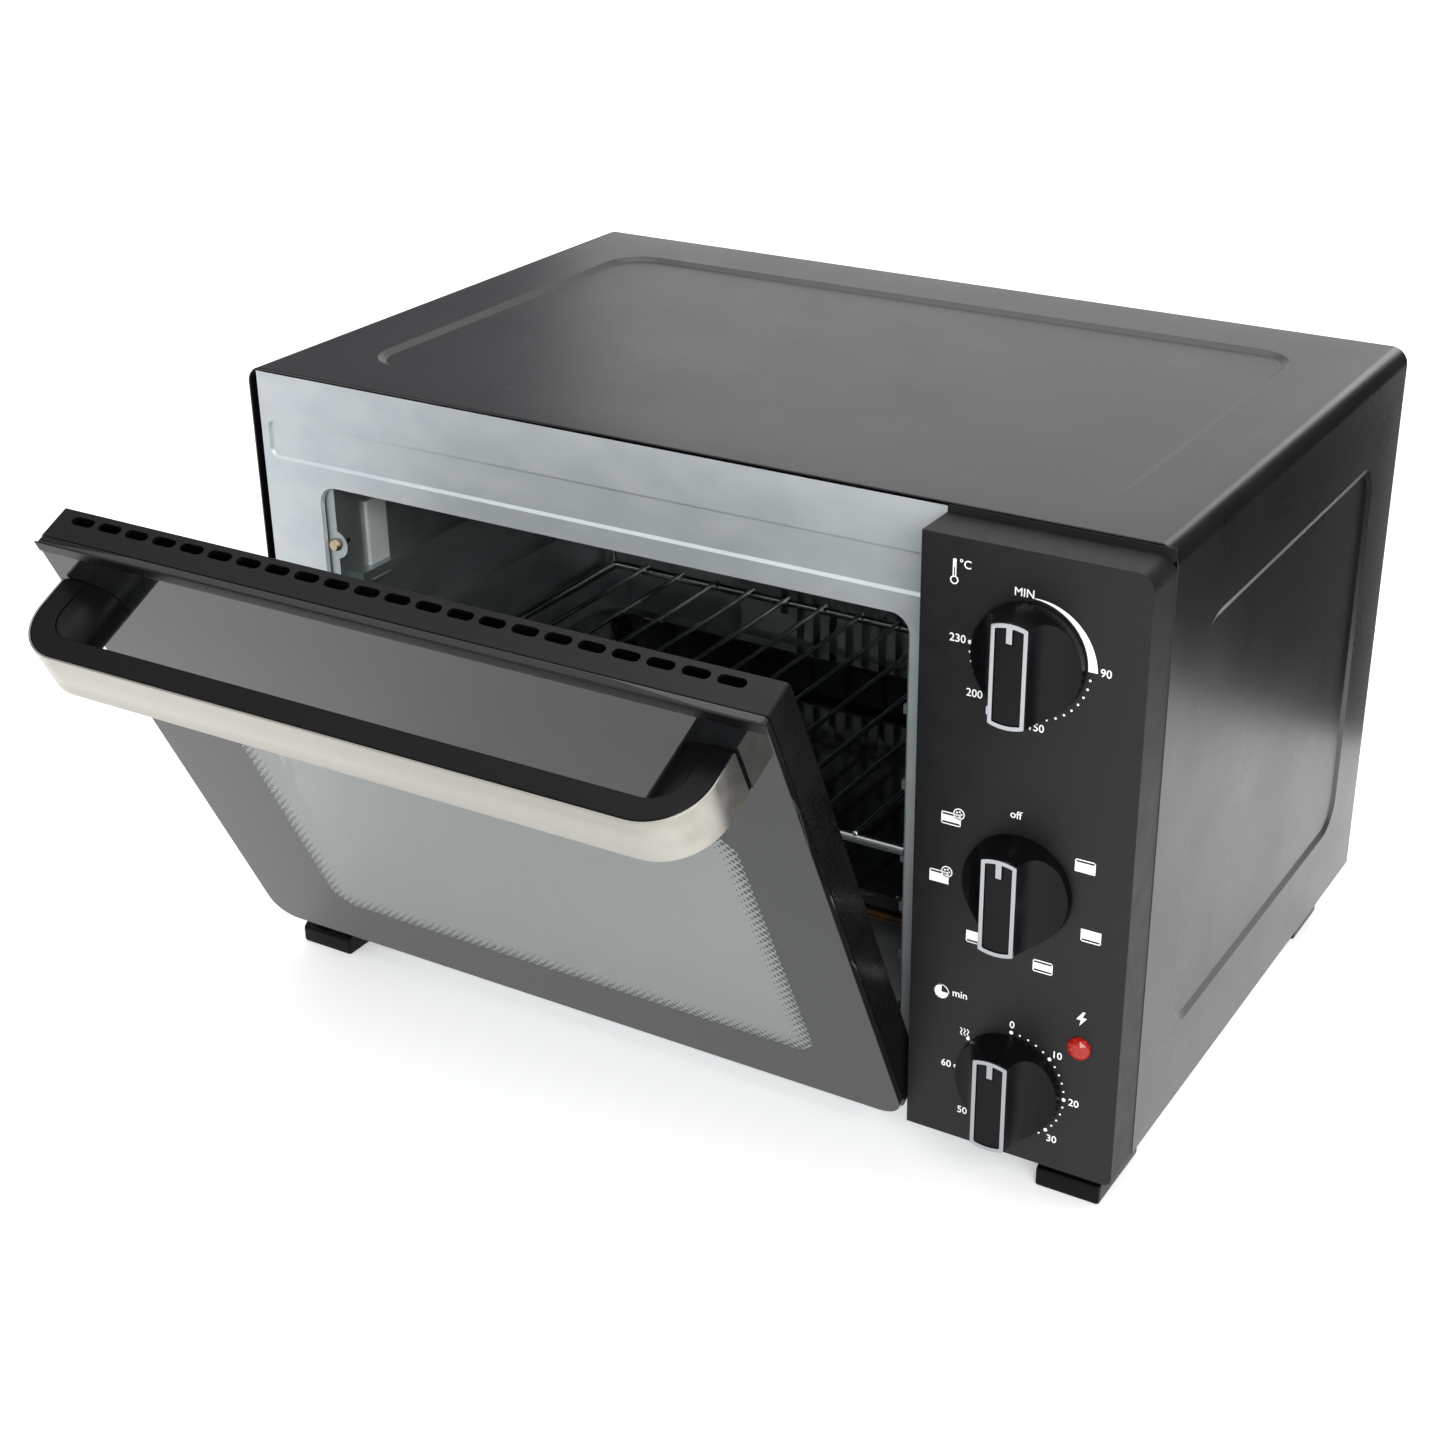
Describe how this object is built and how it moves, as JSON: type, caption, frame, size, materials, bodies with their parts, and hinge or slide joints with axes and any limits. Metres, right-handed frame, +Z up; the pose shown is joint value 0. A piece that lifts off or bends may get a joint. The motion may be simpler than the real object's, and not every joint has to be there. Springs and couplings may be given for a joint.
{
  "type": "toaster oven",
  "caption": "Bench-top toaster oven with a drop-down glass door, bow handle, wire rack, baking tray, heating loops, convection fan and rotary controls on the right.",
  "frame": {"origin": "on the worktop, under the middle of the whole object's bounding box with the door ajar", "axes": "+X to the user's right, +Y from the door to the back, +Z up"},
  "size_m": [0.5, 0.5078, 0.328],
  "materials": {
    "cover_black_paint": "satin black stoving paint on steel sheet",
    "galvanised_steel": "galvanised steel sheet with a faint rolling grain",
    "panel_black_abs": "fine-grained dark grey moulding",
    "door_black_paint": "semi-matt black paint",
    "chrome_trim": "bright chrome plate",
    "brushed_steel_strip": "long-grain brushed stainless steel",
    "smoked_glass": "grey tinted, mirror-coated toughened glass",
    "clear_glass": "clear toughened glass",
    "black_enamel": "gloss black vitreous enamel",
    "heater_sheath": "heat-tinted steel sheath",
    "white_ceramic": "unglazed white ceramic",
    "foot_black": "black moulding",
    "red_lens": "clear red moulded lens",
    "zinc_plate": "bright zinc plate",
    "brass_screw": "yellow passivated screw",
    "rack_chrome": "plated wire",
    "knob_black": "satin black moulding"
  },
  "bodies": {
    "oven_body": {"outer_cover": "cover_black_paint", "back_panel": "galvanised_steel", "base_plate": "galvanised_steel", "front_plate": "galvanised_steel", "control_panel": "panel_black_abs", "foot_front_left": "foot_black", "foot_front_right": "foot_black", "foot_rear_left": "foot_black", "foot_rear_right": "foot_black", "cord_gland": "foot_black", "cavity_wall_left": "galvanised_steel", "cavity_wall_right": "galvanised_steel", "cavity_top": "galvanised_steel", "cavity_floor": "galvanised_steel", "cavity_back": "galvanised_steel", "liner_screw_left": "brass_screw", "bay_shield": "galvanised_steel", "heater_upper": "heater_sheath", "heater_lower": "heater_sheath", "heater_terminal_upper": "white_ceramic", "heater_terminal_lower": "white_ceramic", "fan_cover": "galvanised_steel", "fan_motor": "zinc_plate", "thermostat": "zinc_plate", "thermostat_bulb": "zinc_plate", "selector_switch": "white_ceramic", "timer": "zinc_plate", "timer_bell": "zinc_plate", "lamp_lens": "red_lens", "lamp_holder": "knob_black", "hinge_bracket_left": "zinc_plate", "hinge_bracket_right": "zinc_plate", "door_spring_left": "zinc_plate", "door_spring_right": "zinc_plate"},
    "door": {"door_frame": "door_black_paint", "door_glass_outer": "smoked_glass", "door_glass_inner": "clear_glass", "glass_clip_left": "zinc_plate", "glass_clip_right": "zinc_plate", "handle_bow": "knob_black", "handle_strip": "brushed_steel_strip", "handle_screw_left": "zinc_plate", "handle_screw_right": "zinc_plate", "hinge_pin_left": "zinc_plate", "hinge_pin_right": "zinc_plate"},
    "thermostat_dial": {"thermostat_knob": "knob_black", "thermostat_trim": "chrome_trim", "thermostat_shaft": "zinc_plate"},
    "selector_dial": {"selector_knob": "knob_black", "selector_trim": "chrome_trim", "selector_shaft": "zinc_plate"},
    "timer_dial": {"timer_knob": "knob_black", "timer_trim": "chrome_trim", "timer_shaft": "zinc_plate"},
    "convection_fan": {"fan_blade": "zinc_plate", "fan_shaft": "zinc_plate"},
    "rack": {"wire_rack": "rack_chrome"},
    "tray": {"baking_tray": "black_enamel"},
    "crumb_drawer": {"crumb_tray": "galvanised_steel"}
  },
  "joints": [
    {"name": "door_hinge", "type": "hinge", "parent": "oven_body", "child": "door", "pos_m": [0, -0.08359, 0.025], "axis": [1, 0, 0], "range_deg": [-26, 54]},
    {"name": "thermostat_turn", "type": "hinge", "parent": "oven_body", "child": "thermostat_dial", "pos_m": [0.1966, -0.09444, 0.2755], "axis": [0, 1, 0], "range_deg": [0, 273]},
    {"name": "selector_turn", "type": "hinge", "parent": "oven_body", "child": "selector_dial", "pos_m": [0.1966, -0.09444, 0.165], "axis": [0, 1, 0], "range_deg": [0, 308.6]},
    {"name": "timer_turn", "type": "hinge", "parent": "oven_body", "child": "timer_dial", "pos_m": [0.1966, -0.09444, 0.0612], "axis": [0, 1, 0], "range_deg": [-52, 270]},
    {"name": "fan_spin", "type": "hinge", "parent": "oven_body", "child": "convection_fan", "pos_m": [-0.03875, 0.19041, 0.158], "axis": [0, 1, 0], "continuous": true},
    {"name": "rack_slide", "type": "slide", "parent": "oven_body", "child": "rack", "axis": [0, -1, 0], "range_m": [0, 0.055]},
    {"name": "tray_slide", "type": "slide", "parent": "oven_body", "child": "tray", "axis": [0, -1, 0], "range_m": [0, 0.05]},
    {"name": "crumb_tray_slide", "type": "slide", "parent": "oven_body", "child": "crumb_drawer", "axis": [0, -1, 0], "range_m": [0, 0.018]}
  ]
}
